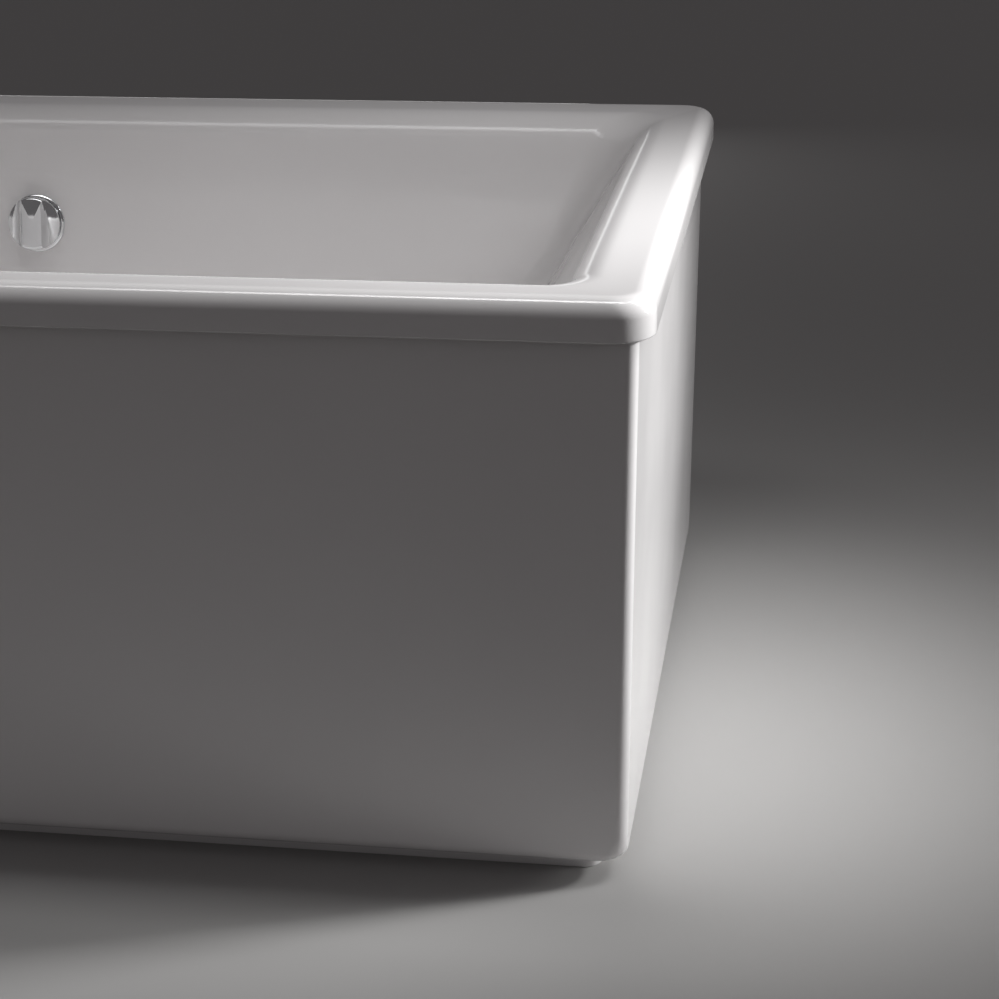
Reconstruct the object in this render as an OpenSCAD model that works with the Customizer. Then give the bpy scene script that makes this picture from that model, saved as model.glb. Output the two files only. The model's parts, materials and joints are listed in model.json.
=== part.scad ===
// Freestanding rectangular bath: acrylic shell, wrap-round shroud and recessed plinth on a steel
// frame with levelling feet, a centre waste with a lifting plug, and an overflow whose knob
// works the plug through a cable. Origin: on the floor, under the middle of the bath.
// +X runs along the bath, +Y towards the overflow side, +Z up.

/* [Bath] */
// Length over the rim
bath_l = 1676; // [1500:1:1829]
// Width over the rim
bath_w = 914; // [860:1:960]
// Height of the rim above the floor
bath_h = 572; // [560:1:610]
// Wall thickness of the moulded shell
shell_t = 6; // [4:0.5:8]

/* [Rim] */
// Height of the rim's outer lip
lip_h = 38; // [30:1:45]
// Plan radius of the rim's outer corners
rim_corner_r = 40; // [30:1:60]
// Radius over the rim's outer top edge
rim_edge_r = 18; // [14:1:20]
// Slope of the rim's top towards the basin, degrees
rim_slope = 4; // [3:0.5:5]
// Radius of the roll into the basin
rim_roll_r = 45; // [43:1:46]

/* [Basin] */
// Slope of the end walls from vertical, degrees
end_slope = 31; // [24:1:33]
// Slope of the long walls from vertical, degrees
side_slope = 10; // [6:1:12]
// Height of the basin floor's edge above the floor of the room
basin_floor_z = 146; // [140:1:160]
// Fall of the basin floor to the waste
basin_fall = 6; // [3:0.5:6]
// Radius between the basin's walls and floor
basin_fillet_r = 100; // [70:1:110]

/* [Shroud and plinth] */
// Distance from the rim's outer edge in to the shroud's face
rim_overhang = 13.5; // [12:0.5:18]
// Thickness of the shroud
shroud_t = 4; // [3:0.5:5]
// Gap between the floor and the shroud's rolled bottom edge
shroud_gap = 17; // [17:1:24]
// Draft of the shroud's faces, degrees
shroud_draft = 0.85; // [0:0.01:1.2]
// Plan radius of the shroud's corners
shroud_corner_r = 13; // [12:1:20]
// Radius of the shroud's rolled bottom edge
shroud_roll_r = 14; // [12:1:18]
// Distance from the shroud's bottom edge in to the plinth
plinth_inset = 26; // [24:1:36]

/* [Waste and overflow] */
// Radius of the holes through the shell for the waste and the overflow
port_r = 26; // [24:0.5:28]
// Outer radius of the waste tailpiece
tail_r = 19.05; // [16:0.05:20]
// Height of the overflow's centre above the floor
overflow_z = 430; // [400:1:450]
// Lift of the plug from shut to open
plug_lift = 12; // [8:1:12]

/* [Hidden] */
$fn = 48;
corner_steps = 8;
half_l = bath_l / 2;
half_w = bath_w / 2;
clear = 0.1;

// rim profile, as inset from the outer edge and height
lip_z = bath_h - lip_h;
crest_r = 40;
dish_end = 52;
dish_drop = crest_r * (1 - cos(rim_slope))
    + (dish_end - rim_edge_r - crest_r * sin(rim_slope)) * tan(rim_slope);
roll_end_angle = 66;
roll_d = dish_end - rim_roll_r * sin(rim_slope);
roll_z = bath_h - dish_drop - rim_roll_r * cos(rim_slope);
rim_w = roll_d + rim_roll_r * sin(roll_end_angle);
brim_z = roll_z + rim_roll_r * cos(roll_end_angle);
brim_under_z = roll_z + (rim_roll_r - shell_t) * cos(roll_end_angle);

// basin
brim_corner_r = 58;
wall_corner_r = 30;
floor_corner_r = 60;
waste_dish_r = 60;
waste_z = basin_floor_z - basin_fall;
shell_under_z = waste_z - shell_t;

// shroud
shroud_half_l = half_l - rim_overhang;
shroud_half_w = half_w - rim_overhang;
shroud_top_z = lip_z + 17;
flange_w = 60;
bottom_blend_h = 36;
bottom_corner_r = shroud_corner_r + 20;

// base boards and frame
board_l = 900;
board_w = 440;
board_t = 18;
board_gap = 50; // from the middle to each board's inner end, clear of the waste
board_z = shell_under_z - board_t;
bar = 30;
bar_wall = 2;
long_rail_y = 170;
long_rail_z = board_z - bar;
cross_rail_z = long_rail_z - bar;
cross_rail_l = 820;
end_rail_x = 640;
mid_rail_x = 220;
upright_y = 395;

// rim battens
batten_in = 20;
batten_w = 40;
batten_t = 20;
batten_top_z = 560;
batten_z = batten_top_z - batten_t;
bracket_t = 3;
bracket_leg = 30;

// feet: each is [name, x, y]
stud_r = 6;
run_gap = 0.08;
foot_y = 340;
pad_r = 26;
pad_h = 12;
nut_t = 8;
nut_r = 10.5;
bush_r = 10;
FEET = [
    ["front_left", -end_rail_x, -foot_y],
    ["front_right", end_rail_x, -foot_y],
    ["back_left", -end_rail_x, foot_y],
    ["back_right", end_rail_x, foot_y],
    ["middle_left", -mid_rail_x, 0],
    ["middle_right", mid_rail_x, 0],
];

// waste
waste_sleeve_r = 24.5;
waste_sleeve_in = 22.5;
waste_flange_r = 36;
waste_flange_t = 3;
seal_t = 2;
waste_body_r = 30;
waste_body_in = 27;
waste_body_z = 46;
slip_nut_t = 10;
nut_z = waste_body_z - slip_nut_t;
inlet_z = 66;
pipe_r = 16;
pipe_in = 14;
port_out_r = 19;
web_t = 7;
tail_in = 17.5;
tail_collar_r = tail_r + 0.4;
tail_z = 8;
plug_r = 29;
stem_r = 4;
stem_z = 72;
lever_r = 18;
lever_tilt = asin(plug_lift / (2 * lever_r));

// overflow, worked out along the back wall's normal
wall_run = brim_z - overflow_z;
overflow_y = half_w - rim_w - wall_run * tan(side_slope);
bezel_r = 36;
bezel_t = 4;
knob_r = 33;
knob_t = 13;
shaft_r = 5;
elbow_r = 32;
elbow_depth = 34;
sleeve_l = 16;
pipe_y = overflow_y + 36;
pipe_top_z = 398;
bend_r = 34;

// ---- shared shapes ----

function mix(a, b, t) = a + (b - a) * t;

// Points of a rounded rectangle at height z, counter-clockwise seen from above
function ring(hx, hy, r, z) = [
    for (q = [0:3], k = [0:corner_steps])
        let (a = 90 * (q + k / corner_steps), sx = (q == 0 || q == 3) ? 1 : -1, sy = q < 2 ? 1 : -1)
            [sx * (hx - r) + r * cos(a), sy * (hy - r) + r * sin(a), z]];

// A skin through a list of rings. A looped skin joins its last ring to its first.
module skin(rings, looped = false) {
    n = len(rings[0]);
    m = len(rings);
    sides = [
        for (i = [0:m - (looped ? 1 : 2)], j = [0:n - 1])
            let (a = i * n, b = ((i + 1) % m) * n, k = (j + 1) % n)
                each [[a + j, b + j, b + k], [a + j, b + k, a + k]]];
    first = [for (j = [0:n - 1]) j];
    last = [for (j = [n - 1:-1:0]) (m - 1) * n + j];
    polyhedron([for (r = rings) each r], looped ? sides : concat(sides, [first, last]), convexity = 8);
}

// Points of an arc in a profile, as [inset, height]
function profile_arc(d, z, r, from, to, steps) = [
    for (i = [0:steps]) let (a = mix(from, to, i / steps)) [d + r * cos(a), z + r * sin(a)]];

// Half extent of a basin wall at height z: a sloping line with a fillet into the floor
function wall_half(z, top_half, top_z, slope, floor_z, r) =
    let (touch_z = floor_z + r * (1 - sin(slope)), touch = top_half - (top_z - touch_z) * tan(slope))
        z >= touch_z ? top_half - (top_z - z) * tan(slope)
                     : touch - r * cos(slope) + r * sin(acos(1 - (z - floor_z) / r));

module tube(r, inner_r, h) {
    difference() {
        cylinder(r = r, h = h);
        translate([0, 0, -1]) cylinder(r = inner_r, h = h + 2);
    }
}

// A square hollow bar along X, centred in length and width, its lower face at z = 0
module hollow_bar(length) {
    difference() {
        translate([-length / 2, -bar / 2, 0]) cube([length, bar, bar]);
        translate([-length / 2 - 1, -bar / 2 + bar_wall, bar_wall])
            cube([length + 2, bar - 2 * bar_wall, bar - 2 * bar_wall]);
    }
}

module rounded_slab(hx, hy, r, h) {
    linear_extrude(height = h) {
        square([2 * (hx - r), 2 * hy], center = true);
        square([2 * hx, 2 * (hy - r)], center = true);
        for (sx = [-1, 1], sy = [-1, 1]) translate([sx * (hx - r), sy * (hy - r)]) circle(r = r);
    }
}

// ---- shell ----

// Plan radius of the rim at an inset from its outer edge
function rim_plan_r(d) = d < rim_edge_r ? rim_corner_r - d
    : mix(rim_corner_r - rim_edge_r, brim_corner_r, (d - rim_edge_r) / (rim_w - rim_edge_r));

// Plan radius of the basin's corners at height z
function basin_plan_r(z) = z > wall_corner_z
    ? mix(wall_corner_r, brim_corner_r, (z - wall_corner_z) / (brim_z - wall_corner_z))
    : mix(floor_corner_r, wall_corner_r, (z - basin_floor_z) / (wall_corner_z - basin_floor_z));
wall_corner_z = brim_z - 130;

// A point over the rim's crest at radius r, where the rim slopes by a
function crest_point(r, a) = [rim_edge_r + r * sin(a), bath_h - crest_r + r * cos(a)];

// Top of the rim, from the lip's foot over the crest to the basin's brim
function rim_top(cut) = concat(
    [[1.5, lip_z], [0, lip_z + 2]],
    profile_arc(rim_edge_r, bath_h - rim_edge_r, rim_edge_r, 180, 90, 7),
    [for (i = [1:3]) crest_point(crest_r, rim_slope * i / 3)],
    [for (i = [0:7]) let (a = mix(rim_slope, roll_end_angle, i / 7))
        [roll_d + rim_roll_r * sin(a), roll_z + rim_roll_r * cos(a)]]);

// Underside of the rim, from the brim out to the lip's foot
function rim_under() = concat(
    [for (i = [3:-1:0]) let (a = mix(rim_slope, roll_end_angle, i / 4))
        [roll_d + (rim_roll_r - shell_t) * sin(a), roll_z + (rim_roll_r - shell_t) * cos(a)]],
    [for (i = [2:-1:1]) crest_point(crest_r - shell_t, rim_slope * i / 2)],
    profile_arc(rim_edge_r, bath_h - rim_edge_r, rim_edge_r - shell_t, 90, 180, 4),
    [[shell_t, lip_z]]);

function rim_ring(p, r) = ring(half_l - p[0], half_w - p[0], r, p[1]);

// Basin rings at height z: the inner face, or the outer face one thickness out
function basin_ring(z, floor_z, skin_t) = ring(
    wall_half(z, half_l - rim_w + skin_t / cos(end_slope), brim_z, end_slope, floor_z, basin_fillet_r),
    wall_half(z, half_w - rim_w + skin_t / cos(side_slope), brim_z, side_slope, floor_z, basin_fillet_r),
    basin_plan_r(max(z, basin_floor_z)) + skin_t, z);

fillet_angles = [0, 12, 24, 36, 48, 60, 72, 84];
wall_steps = [0.25, 0.5, 0.75, 1];

function basin_heights(floor_z, top_z) =
    let (low = [for (a = fillet_angles) floor_z + basin_fillet_r * (1 - cos(a))], z0 = low[len(low) - 1])
        concat(low, [for (t = wall_steps) mix(z0, top_z, t)]);

shell_rings = concat(
    [ring(waste_dish_r, waste_dish_r, waste_dish_r - 1, shell_under_z)],
    [for (z = basin_heights(shell_under_z, brim_under_z)) basin_ring(z, shell_under_z, shell_t)],
    [for (p = rim_under()) rim_ring(p, max(6, rim_plan_r(p[0])))],
    [for (p = rim_top()) rim_ring(p, rim_plan_r(p[0]))],
    let (zs = basin_heights(basin_floor_z, brim_z))
        [for (i = [len(zs) - 2:-1:0]) basin_ring(zs[i], basin_floor_z, 0)],
    [ring(waste_dish_r, waste_dish_r, waste_dish_r - 1, waste_z)]);

module at_overflow() {
    translate([0, overflow_y, overflow_z]) rotate([90 - side_slope, 0, 0]) children();
}

module bath_shell() {
    color("white") difference() {
        skin(shell_rings);
        translate([0, 0, shell_under_z - 5]) cylinder(r = port_r, h = shell_t + 10);
        at_overflow() translate([0, 0, -20]) cylinder(r = port_r, h = 40);
    }
}

// ---- base boards and rim battens ----

screw_spots = [for (x = [-360, -80, 80, 360], y = [-long_rail_y, long_rail_y]) [x, y]];
screw_r = 2.5;
screw_depth = 11;

module base_board(side) {
    middle_x = side * (board_gap + board_l / 2) / 2;
    color("burlywood") difference() {
        translate([middle_x, 0, board_z + board_t / 2])
            cube([board_l / 2 - board_gap, board_w, board_t], center = true);
        for (s = screw_spots) translate([s[0], s[1], board_z - 1])
            cylinder(r = screw_r + clear, h = screw_depth + 2);
    }
}
module base_board_left() { base_board(-1); }
module base_board_right() { base_board(1); }

module board_screws() {
    head_t = 3;
    color("silver") for (s = screw_spots) translate([s[0], s[1], long_rail_z - head_t]) {
        cylinder(r = screw_r, h = head_t + bar + screw_depth);
        cylinder(r = 5, h = head_t);
    }
}

batten_y = half_w - batten_in - batten_w;
batten_x = half_l - batten_in - batten_w;

module long_batten(side) {
    y = side * (batten_y + batten_w / 2);
    color("burlywood") translate([0, y, batten_z + batten_t / 2])
        cube([2 * (half_l - 38), batten_w, batten_t], center = true);
}

module end_batten(side) {
    x = side * (batten_x + batten_w / 2);
    color("burlywood") translate([x, 0, batten_z + batten_t / 2])
        cube([batten_w, 2 * batten_y - 2, batten_t], center = true);
}

module rim_batten_front() { long_batten(-1); }
module rim_batten_back() { long_batten(1); }
module rim_batten_left() { end_batten(-1); }
module rim_batten_right() { end_batten(1); }

// Thin plates glued to the shroud's inner face and screwed to the battens
plate_w = 60;
plate_t = 1.2;
plate_drop = 36;

module bonding_plate() {
    translate([-plate_w / 2, -plate_t, batten_z - plate_drop]) cube([plate_w, plate_t, plate_drop + 15]);
}

module bonding_plates() {
    color("silver") {
        for (side = [-1, 1], x = [-600, -200, 200, 600])
            translate([x, side * (half_w - batten_in), 0]) rotate([0, 0, side > 0 ? 180 : 0]) bonding_plate();
        for (side = [-1, 1], y = [-220, 220])
            translate([side * (half_l - batten_in), y, 0]) rotate([0, 0, side * 90]) bonding_plate();
    }
}

// ---- shroud and plinth ----

// Plan radius of the shroud's corners at height z, growing into the rolled bottom
function shroud_plan_r(z) =
    let (t = max(0, 1 - (z - shroud_gap) / bottom_blend_h)) mix(shroud_corner_r, bottom_corner_r, t * t);

// A ring of the shroud at an offset in from its outer face
function shroud_ring(z, off) =
    let (draw = (shroud_top_z - z) * tan(shroud_draft) + off)
        ring(shroud_half_l - draw, shroud_half_w - draw, max(6, shroud_plan_r(z) - off), z);

// Rings from the flange's edge up a face that lies at an offset in from the outer one
function shroud_face(off) = concat(
    [shroud_ring(shroud_gap + off, flange_w)],
    [for (i = [0:6]) let (a = 15 * i, r = shroud_roll_r - off)
        shroud_ring(shroud_gap + off + r * (1 - cos(a)), off + r * (1 - sin(a)))],
    [for (i = [1:3]) shroud_ring(shroud_gap + mix(shroud_roll_r, bottom_blend_h, i / 3), off)],
    [shroud_ring(shroud_top_z, off)]);

shroud_inside = shroud_face(shroud_t);
shroud_rings = concat(shroud_face(0), [for (i = [len(shroud_inside) - 1:-1:0]) shroud_inside[i]]);

shroud_bottom_draw = (shroud_top_z - shroud_gap) * tan(shroud_draft);
plinth_half_l = shroud_half_l - shroud_bottom_draw - plinth_inset;
plinth_half_w = shroud_half_w - shroud_bottom_draw - plinth_inset;
plinth_corner_r = 18;
plinth_t = 16;
plinth_screw_spots = concat(
    [for (x = [-620, -210, 210, 620], side = [-1, 1]) [x, side * (plinth_half_w - plinth_t / 2)]],
    [for (y = [-230, 230], side = [-1, 1]) [side * (plinth_half_l - plinth_t / 2), y]]);
plinth_screw_r = 2.2;

module shroud() {
    color("white") difference() {
        skin(shroud_rings, looped = true);
        for (s = plinth_screw_spots) translate([s[0], s[1], shroud_gap - 1])
            cylinder(r = plinth_screw_r + clear, h = shroud_t + 2);
    }
}

module plinth() {
    color("whitesmoke") difference() {
        rounded_slab(plinth_half_l, plinth_half_w, plinth_corner_r, shroud_gap);
        translate([0, 0, -1])
            rounded_slab(plinth_half_l - plinth_t, plinth_half_w - plinth_t, 4, shroud_gap + 2);
        for (s = plinth_screw_spots) translate([s[0], s[1], shroud_gap - 16])
            cylinder(r = plinth_screw_r + clear, h = 17);
    }
}

module plinth_screws() {
    color("silver") for (s = plinth_screw_spots) translate([s[0], s[1], shroud_gap + shroud_t]) {
        translate([0, 0, -19]) cylinder(r = plinth_screw_r, h = 19.5);
        cylinder(r = 4.5, h = 2.5);
    }
}

// ---- frame ----

module long_rail(side) {
    color("slategray") difference() {
        translate([0, side * long_rail_y, long_rail_z]) hollow_bar(2 * end_rail_x + 2 * bar);
        for (s = screw_spots) if (s[1] * side > 0)
            translate([s[0], s[1], long_rail_z - 1]) cylinder(r = screw_r + clear, h = bar + 2);
    }
}
module long_rail_front() { long_rail(-1); }
module long_rail_back() { long_rail(1); }

module cross_rail(x) {
    color("slategray") difference() {
        translate([x, 0, cross_rail_z]) rotate([0, 0, 90]) hollow_bar(cross_rail_l);
        for (f = FEET) if (f[1] == x) translate([x, f[2], cross_rail_z - 1])
            cylinder(r = bush_r, h = bar + 2);
    }
}
module cross_rail_left_end() { cross_rail(-end_rail_x); }
module cross_rail_left_middle() { cross_rail(-mid_rail_x); }
module cross_rail_right_middle() { cross_rail(mid_rail_x); }
module cross_rail_right_end() { cross_rail(end_rail_x); }

module upright(sx, sy) {
    upright_z = cross_rail_z + bar;
    height = batten_z - upright_z;
    color("slategray") translate([sx * end_rail_x, sy * upright_y, upright_z])
        rotate([0, -90, 0]) translate([height / 2, 0, -bar / 2]) hollow_bar(height);
}
module upright_front_left() { upright(-1, -1); }
module upright_front_right() { upright(1, -1); }
module upright_back_left() { upright(-1, 1); }
module upright_back_right() { upright(1, 1); }

// Angle plates from each upright's outer face to the batten above it
module batten_brackets() {
    face_y = upright_y + bar / 2;
    color("silver") for (sx = [-1, 1], sy = [-1, 1])
        translate([sx * end_rail_x, 0, 0]) mirror([0, sy < 0 ? 1 : 0, 0]) {
            translate([-12, face_y, batten_z - bracket_leg]) cube([24, bracket_t, bracket_leg]);
            translate([-12, face_y, batten_z - bracket_t]) cube([24, 22, bracket_t]);
        }
}

// ---- levelling feet ----

module foot_bushes() {
    color("silver") for (f = FEET) translate([f[1], f[2], cross_rail_z]) tube(bush_r, stud_r + run_gap, bar);
}

module lock_nuts() {
    color("silver") for (f = FEET) translate([f[1], f[2], cross_rail_z - nut_t]) difference() {
        cylinder(r = nut_r, h = nut_t, $fn = 6);
        translate([0, 0, -1]) cylinder(r = stud_r + run_gap, h = nut_t + 2);
    }
}

module foot_stud(f) {
    color("silver") translate([f[1], f[2], 8]) cylinder(r = stud_r, h = cross_rail_z + bar - 10);
}

module foot_pad(f) {
    color("dimgray") translate([f[1], f[2], 0]) difference() {
        union() {
            cylinder(r = pad_r, h = 5);
            translate([0, 0, 5]) cylinder(r1 = pad_r - 3, r2 = 11, h = pad_h - 5);
        }
        translate([0, 0, 8]) cylinder(r = stud_r, h = pad_h);
    }
}

// ---- waste ----

module waste_flange() {
    color("gainsboro") difference() {
        union() {
            translate([0, 0, waste_z + seal_t])
                cylinder(r1 = waste_flange_r, r2 = waste_flange_r - 2, h = waste_flange_t);
            translate([0, 0, waste_z - 34]) cylinder(r = waste_sleeve_r, h = 36);
        }
        translate([0, 0, waste_z - 3]) cylinder(r = waste_sleeve_in, h = 10);
        translate([0, 0, waste_z - 35]) cylinder(r = waste_sleeve_in, h = 32 - web_t);
        for (a = [0:60:300]) rotate([0, 0, a]) translate([14, 0, waste_z - 12]) cylinder(r = 5.5, h = 10);
        translate([0, 0, waste_z - 12]) cylinder(r = stem_r + run_gap, h = 10);
    }
}

module waste_top_gasket() {
    color("dimgray") translate([0, 0, waste_z]) tube(waste_flange_r - 2, waste_sleeve_r + clear, seal_t);
}

module waste_bottom_gasket() {
    color("dimgray") translate([0, 0, shell_under_z - 3]) tube(38, waste_sleeve_r + 1, 3);
}

module waste_body() {
    body_top = shell_under_z - 3;
    color("white") difference() {
        union() {
            translate([0, 0, waste_body_z]) cylinder(r = waste_body_r, h = body_top - waste_body_z);
            translate([0, 0, body_top - 6]) cylinder(r = 38, h = 6);
            translate([0, 0, inlet_z]) rotate([-90, 0, 0]) cylinder(r = port_out_r, h = 52);
        }
        translate([0, 0, waste_body_z + 4]) cylinder(r = waste_body_in, h = body_top);
        translate([0, 0, waste_body_z - 1]) cylinder(r = tail_collar_r + clear, h = 10);
        translate([0, 0, inlet_z]) rotate([-90, 0, 0]) cylinder(r = pipe_in, h = 60);
        translate([0, 34, inlet_z]) rotate([-90, 0, 0]) cylinder(r = pipe_r + clear, h = 30);
        translate([-lever_r, 0, lever_z]) rotate([90, 0, 0])
            cylinder(r = lever_pin_r + clear, h = 2 * waste_body_r, center = true);
    }
}

module tailpiece() {
    color("gainsboro") difference() {
        union() {
            translate([0, 0, tail_z]) cylinder(r = tail_r, h = nut_z - tail_z);
            translate([0, 0, nut_z]) cylinder(r = tail_collar_r, h = waste_body_z + 4 - nut_z);
            translate([0, 0, waste_body_z + 4]) cylinder(r = tail_r + 3, h = 2);
        }
        translate([0, 0, tail_z - 1]) cylinder(r = tail_in, h = 60);
    }
}

module slip_nuts() {
    color("white") {
        translate([0, 0, nut_z]) tube(25, tail_collar_r + clear, slip_nut_t);
        translate([0, 52, inlet_z]) rotate([-90, 0, 0]) tube(21, pipe_r + clear, slip_nut_t);
    }
}

// ---- plug and its lift ----

plug_z = waste_z + seal_t + waste_flange_t + 1.5;

module plug_cap() {
    color("gainsboro") translate([0, 0, plug_z]) difference() {
        union() {
            cylinder(r = plug_r, h = 3);
            translate([0, 0, 3]) cylinder(r1 = plug_r, r2 = plug_r - 5, h = 2);
            translate([0, 0, -8]) cylinder(r = 9, h = 9);
        }
        translate([0, 0, -9]) cylinder(r = stem_r, h = 7);
    }
}

module plug_seal() {
    color("dimgray") translate([0, 0, plug_z - 1.2]) tube(plug_r - 1, 14, 1.2);
}

module plug_stem() {
    color("silver") translate([0, 0, stem_z + stem_r]) {
        sphere(r = stem_r);
        cylinder(r = stem_r, h = plug_z - 2 - stem_z - stem_r);
    }
}

lever_pin_r = 2.5;
lever_z = stem_z - 3 - 0.6 + lever_r * sin(lever_tilt);

module lift_lever() {
    color("silver") translate([-lever_r, 0, lever_z]) rotate([0, lever_tilt, 0]) difference() {
        union() {
            rotate([90, 0, 0]) translate([0, 0, -4]) cylinder(r = 5, h = 8);
            translate([0, -4, -3]) cube([lever_r, 8, 6]);
            translate([lever_r, 4, 0]) rotate([90, 0, 0]) cylinder(r = 3, h = 8);
        }
        rotate([90, 0, 0]) translate([0, 0, -5]) cylinder(r = lever_pin_r + run_gap, h = 10);
    }
}

module lever_pin() {
    color("silver") translate([-lever_r, 0, lever_z]) rotate([90, 0, 0])
        cylinder(r = lever_pin_r, h = 46, center = true);
}

// ---- overflow ----

module overflow_bezel() {
    color("gainsboro") at_overflow() difference() {
        union() {
            translate([0, 0, 0.3]) cylinder(r = bezel_r, h = bezel_t);
            translate([0, 0, -sleeve_l]) cylinder(r = waste_sleeve_r, h = sleeve_l + 1);
        }
        translate([0, 0, -sleeve_l - 1]) tube(21, 9, sleeve_l - 2);
        for (a = [0:60:300]) rotate([0, 0, a]) translate([15, 0, -sleeve_l - 1])
            cylinder(r = 5.5, h = sleeve_l + bezel_t + 3);
        translate([0, 0, -sleeve_l - 1]) cylinder(r = shaft_r + run_gap, h = sleeve_l + bezel_t + 3);
    }
}

module overflow_gasket() {
    color("dimgray") at_overflow() translate([0, 0, -shell_t - 4]) tube(elbow_r, waste_sleeve_r + 1, 3.6);
}

module overflow_elbow() {
    wall_t = 3;
    front_z = -shell_t - 4.2;
    collar_t = 5.8;
    spigot_r = 19;
    color("white") difference() {
        union() {
            at_overflow() translate([0, 0, front_z - elbow_depth]) cylinder(r = elbow_r, h = elbow_depth);
            translate([0, pipe_y, pipe_top_z - 14]) cylinder(r = spigot_r, h = 34);
        }
        at_overflow() {
            translate([0, 0, front_z - elbow_depth + wall_t])
                cylinder(r = elbow_r - wall_t, h = elbow_depth - wall_t - collar_t);
            translate([0, 0, front_z - collar_t - 1]) cylinder(r = waste_sleeve_r + clear, h = collar_t + 2);
        }
        translate([0, pipe_y, pipe_top_z - 1]) cylinder(r = pipe_in, h = 18);
        translate([0, pipe_y, pipe_top_z - 15]) cylinder(r = pipe_r + clear, h = 14);
    }
}

module overflow_pipe() {
    across = pipe_y - bend_r;
    color("white") {
        translate([0, 36, inlet_z]) rotate([-90, 0, 0]) tube(pipe_r, pipe_in, across - 36);
        translate([0, across, inlet_z + bend_r]) rotate([0, 90, 0]) rotate_extrude(angle = 90)
            translate([bend_r, 0]) difference() {
                circle(r = pipe_r);
                circle(r = pipe_in);
            }
        translate([0, pipe_y, inlet_z + bend_r]) tube(pipe_r, pipe_in, pipe_top_z - 2 - inlet_z - bend_r);
    }
}

module overflow_knob() {
    front = bezel_t + 5;
    color("gainsboro") at_overflow() difference() {
        union() {
            translate([0, 0, front]) cylinder(r = knob_r, h = knob_t - 3);
            translate([0, 0, front + knob_t - 3]) cylinder(r1 = knob_r, r2 = knob_r - 4, h = 3);
            translate([0, 0, -elbow_depth + 2]) cylinder(r = shaft_r, h = elbow_depth + front);
        }
        for (side = [-1, 1]) translate([side * 30, 0, front + knob_t + 13]) rotate([90, 0, 0])
            cylinder(r = 22, h = 2 * knob_r + 2, center = true);
    }
}

drum_r = 13;

module cable_drum() {
    color("dimgray") at_overflow() translate([0, 0, -elbow_depth + 4]) tube(drum_r, shaft_r, 8);
}

// ---- cable from the overflow to the waste ----

cable_r = 3;
cable_sides = 8;
cable_x = 24;
CABLE = [
    [cable_x, 378, 400], [cable_x, 380, 385], [cable_x, 384, 355], [cable_x, 384, 300], [cable_x, 384, 240],
    [cable_x, 384, 180], [cable_x, 384, 140], [cable_x, 378, 110], [cable_x, 364, 86], [25, 342, 71],
    [27, 315, 66], [28, 260, 66], [28, 200, 66], [28, 140, 66], [28, 90, 66], [27, 60, 67], [25, 38, 70],
    [24, 20, 72],
];

function unit(v) = v / norm(v);
function cable_way(i) = unit(CABLE[min(i + 1, len(CABLE) - 1)] - CABLE[max(i - 1, 0)]);
function cable_ring(i) =
    let (way = cable_way(i), side = unit(cross(way, [1, 0, 0])), up = cross(side, way))
        [for (k = [0:cable_sides - 1]) let (a = 360 * k / cable_sides)
            CABLE[i] + cable_r * (cos(a) * side + sin(a) * up)];

module lift_cable() {
    color("dimgray") skin([for (i = [len(CABLE) - 1:-1:0]) cable_ring(i)]);
}

module cable_clips() {
    color("dimgray") for (z = [170, 250, 330]) translate([0, pipe_y, z]) difference() {
        union() {
            cylinder(r = pipe_r + 2, h = 8);
            translate([cable_x, 0, 0]) cylinder(r = 6.5, h = 8);
        }
        translate([0, 0, -1]) cylinder(r = pipe_r + clear, h = 10);
        translate([cable_x, 384 - pipe_y, -1]) cylinder(r = cable_r + clear, h = 10);
    }
}

// ---- output ----

bath_shell();
base_board_left();
base_board_right();
rim_batten_front();
rim_batten_back();
rim_batten_left();
rim_batten_right();
bonding_plates();
shroud();
plinth();
plinth_screws();
long_rail_front();
long_rail_back();
cross_rail_left_end();
cross_rail_left_middle();
cross_rail_right_middle();
cross_rail_right_end();
upright_front_left();
upright_front_right();
upright_back_left();
upright_back_right();
batten_brackets();
board_screws();
foot_bushes();
lock_nuts();
waste_flange();
waste_top_gasket();
waste_bottom_gasket();
waste_body();
tailpiece();
slip_nuts();
plug_cap();
plug_seal();
plug_stem();
lift_lever();
lever_pin();
overflow_bezel();
overflow_gasket();
overflow_elbow();
overflow_pipe();
overflow_knob();
cable_drum();
lift_cable();
cable_clips();
for (f = FEET) {
    foot_stud(f);
    foot_pad(f);
}
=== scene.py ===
"""A white acrylic bath with a wrap-round shroud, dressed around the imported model, in metres."""

import json
import math

import bmesh
import bpy
from mathutils import Matrix, Vector


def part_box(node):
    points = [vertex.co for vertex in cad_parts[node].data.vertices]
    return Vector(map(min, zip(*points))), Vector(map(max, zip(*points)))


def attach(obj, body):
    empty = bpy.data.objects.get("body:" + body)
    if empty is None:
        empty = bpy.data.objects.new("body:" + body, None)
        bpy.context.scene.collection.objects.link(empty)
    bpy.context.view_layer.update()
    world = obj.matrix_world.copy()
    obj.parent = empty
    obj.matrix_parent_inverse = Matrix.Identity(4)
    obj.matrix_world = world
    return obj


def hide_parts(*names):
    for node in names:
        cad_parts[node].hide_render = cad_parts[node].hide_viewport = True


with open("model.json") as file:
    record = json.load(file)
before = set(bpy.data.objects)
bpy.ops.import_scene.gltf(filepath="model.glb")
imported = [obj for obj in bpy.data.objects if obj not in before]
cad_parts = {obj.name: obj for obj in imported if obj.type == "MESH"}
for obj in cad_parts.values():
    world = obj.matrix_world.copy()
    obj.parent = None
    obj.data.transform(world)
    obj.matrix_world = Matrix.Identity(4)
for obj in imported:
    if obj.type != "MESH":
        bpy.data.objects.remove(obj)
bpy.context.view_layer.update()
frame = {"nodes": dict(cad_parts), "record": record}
MM = 0.001


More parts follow.
